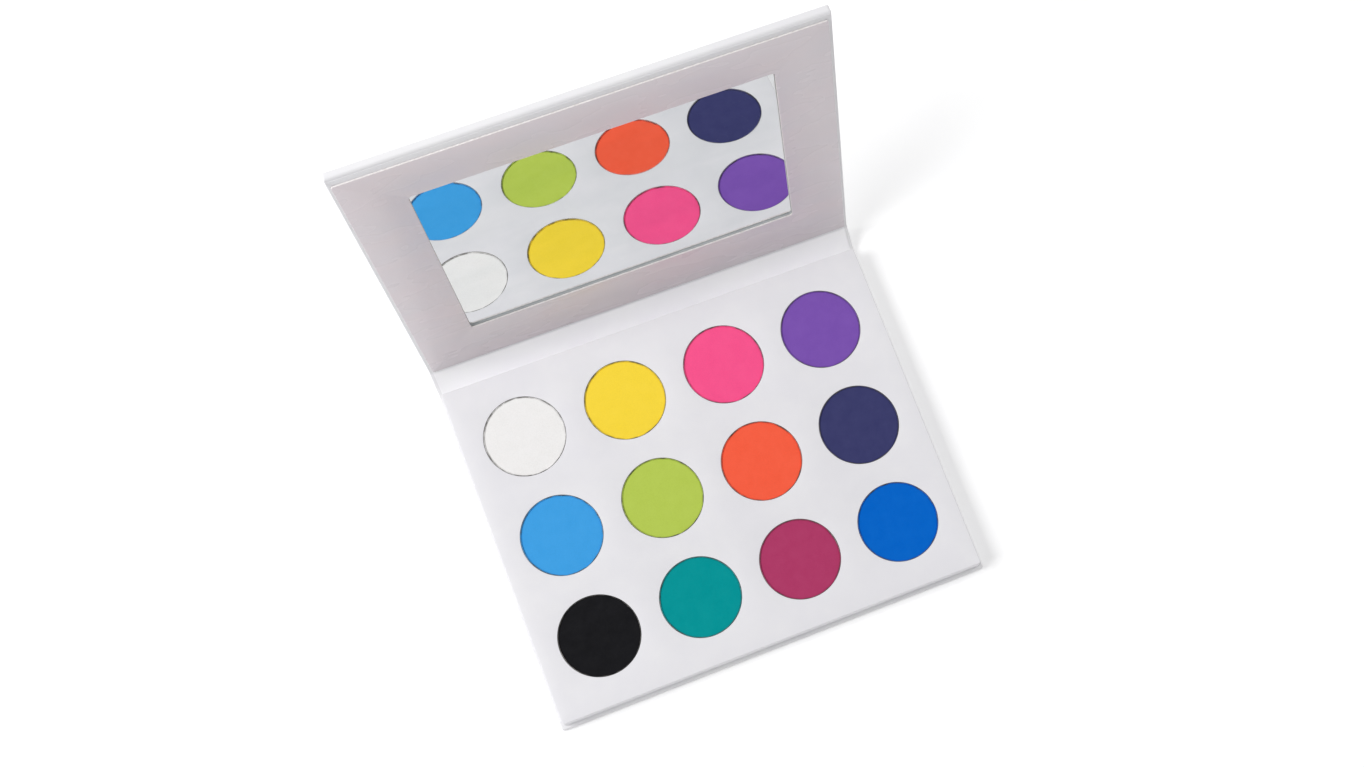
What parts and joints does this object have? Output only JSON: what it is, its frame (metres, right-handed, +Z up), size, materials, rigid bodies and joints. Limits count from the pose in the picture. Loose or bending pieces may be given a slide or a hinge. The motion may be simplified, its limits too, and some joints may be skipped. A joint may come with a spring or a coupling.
{
  "type": "eyeshadow palette",
  "caption": "Book-style paper-wrapped board eyeshadow palette standing open, with round pressed-powder pans in a white tray and a rectangular mirror in the lid.",
  "frame": {"origin": "middle of the bottom cover's width on its flat underside, centred on the tray's depth", "axes": "+X along the hinge, left to right for a user in front; +Y from the front edge towards the hinge; +Z up from the table"},
  "size_m": [0.1444, 0.1497, 0.1221],
  "materials": {
    "wrap_paper": "satin",
    "liner_paper": "satin",
    "greyboard": "matte",
    "riser_board": "matte",
    "tinplate": "satin",
    "adhesive": "satin",
    "magnet_nickel": "polished",
    "steel_disc": "satin",
    "mirror_glass": "polished",
    "powder_white": "matte",
    "powder_yellow": "matte",
    "powder_pink": "matte",
    "powder_purple": "matte",
    "powder_sky_blue": "matte",
    "powder_lime_green": "matte",
    "powder_orange": "matte",
    "powder_navy": "matte",
    "powder_black": "matte",
    "powder_teal": "matte",
    "powder_berry": "matte",
    "powder_royal_blue": "matte"
  },
  "bodies": {
    "base": {"base_wrap": "wrap_paper", "base_board": "greyboard", "tray_shell": "wrap_paper", "tray_wall_front": "greyboard", "tray_wall_back": "greyboard", "tray_wall_left": "greyboard", "tray_wall_right": "greyboard", "tray_riser": "riser_board", "magnet_left": "magnet_nickel", "magnet_right": "magnet_nickel", "pan_white": "tinplate", "powder_white": "powder_white", "pan_pad_white": "adhesive", "pan_yellow": "tinplate", "powder_yellow": "powder_yellow", "pan_pad_yellow": "adhesive", "pan_pink": "tinplate", "powder_pink": "powder_pink", "pan_pad_pink": "adhesive", "pan_purple": "tinplate", "powder_purple": "powder_purple", "pan_pad_purple": "adhesive", "pan_sky_blue": "tinplate", "powder_sky_blue": "powder_sky_blue", "pan_pad_sky_blue": "adhesive", "pan_lime_green": "tinplate", "powder_lime_green": "powder_lime_green", "pan_pad_lime_green": "adhesive", "pan_orange": "tinplate", "powder_orange": "powder_orange", "pan_pad_orange": "adhesive", "pan_navy": "tinplate", "powder_navy": "powder_navy", "pan_pad_navy": "adhesive", "pan_black": "tinplate", "powder_black": "powder_black", "pan_pad_black": "adhesive", "pan_teal": "tinplate", "powder_teal": "powder_teal", "pan_pad_teal": "adhesive", "pan_berry": "tinplate", "powder_berry": "powder_berry", "pan_pad_berry": "adhesive", "pan_royal_blue": "tinplate", "powder_royal_blue": "powder_royal_blue", "pan_pad_royal_blue": "adhesive"},
    "spine": {"spine_wrap": "wrap_paper", "spine_board": "greyboard", "spine_liner": "liner_paper", "crease_lower": "wrap_paper"},
    "lid": {"lid_wrap": "wrap_paper", "lid_board": "greyboard", "lid_filler": "greyboard", "lid_liner": "liner_paper", "mirror": "mirror_glass", "mirror_tape": "adhesive", "lid_steel_disc_left": "steel_disc", "lid_steel_disc_right": "steel_disc", "crease_upper": "wrap_paper"}
  },
  "joints": [
    {"name": "spine_hinge", "type": "hinge", "parent": "base", "child": "spine", "pos_m": [0, 0.0586, 0.0012], "axis": [1, 0, 0], "range_deg": [-38, 49]},
    {"name": "lid_hinge", "type": "hinge", "parent": "spine", "child": "lid", "pos_m": [0, 0.06581, 0.00747], "axis": [1, 0, 0], "range_deg": [-40, 53]}
  ]
}
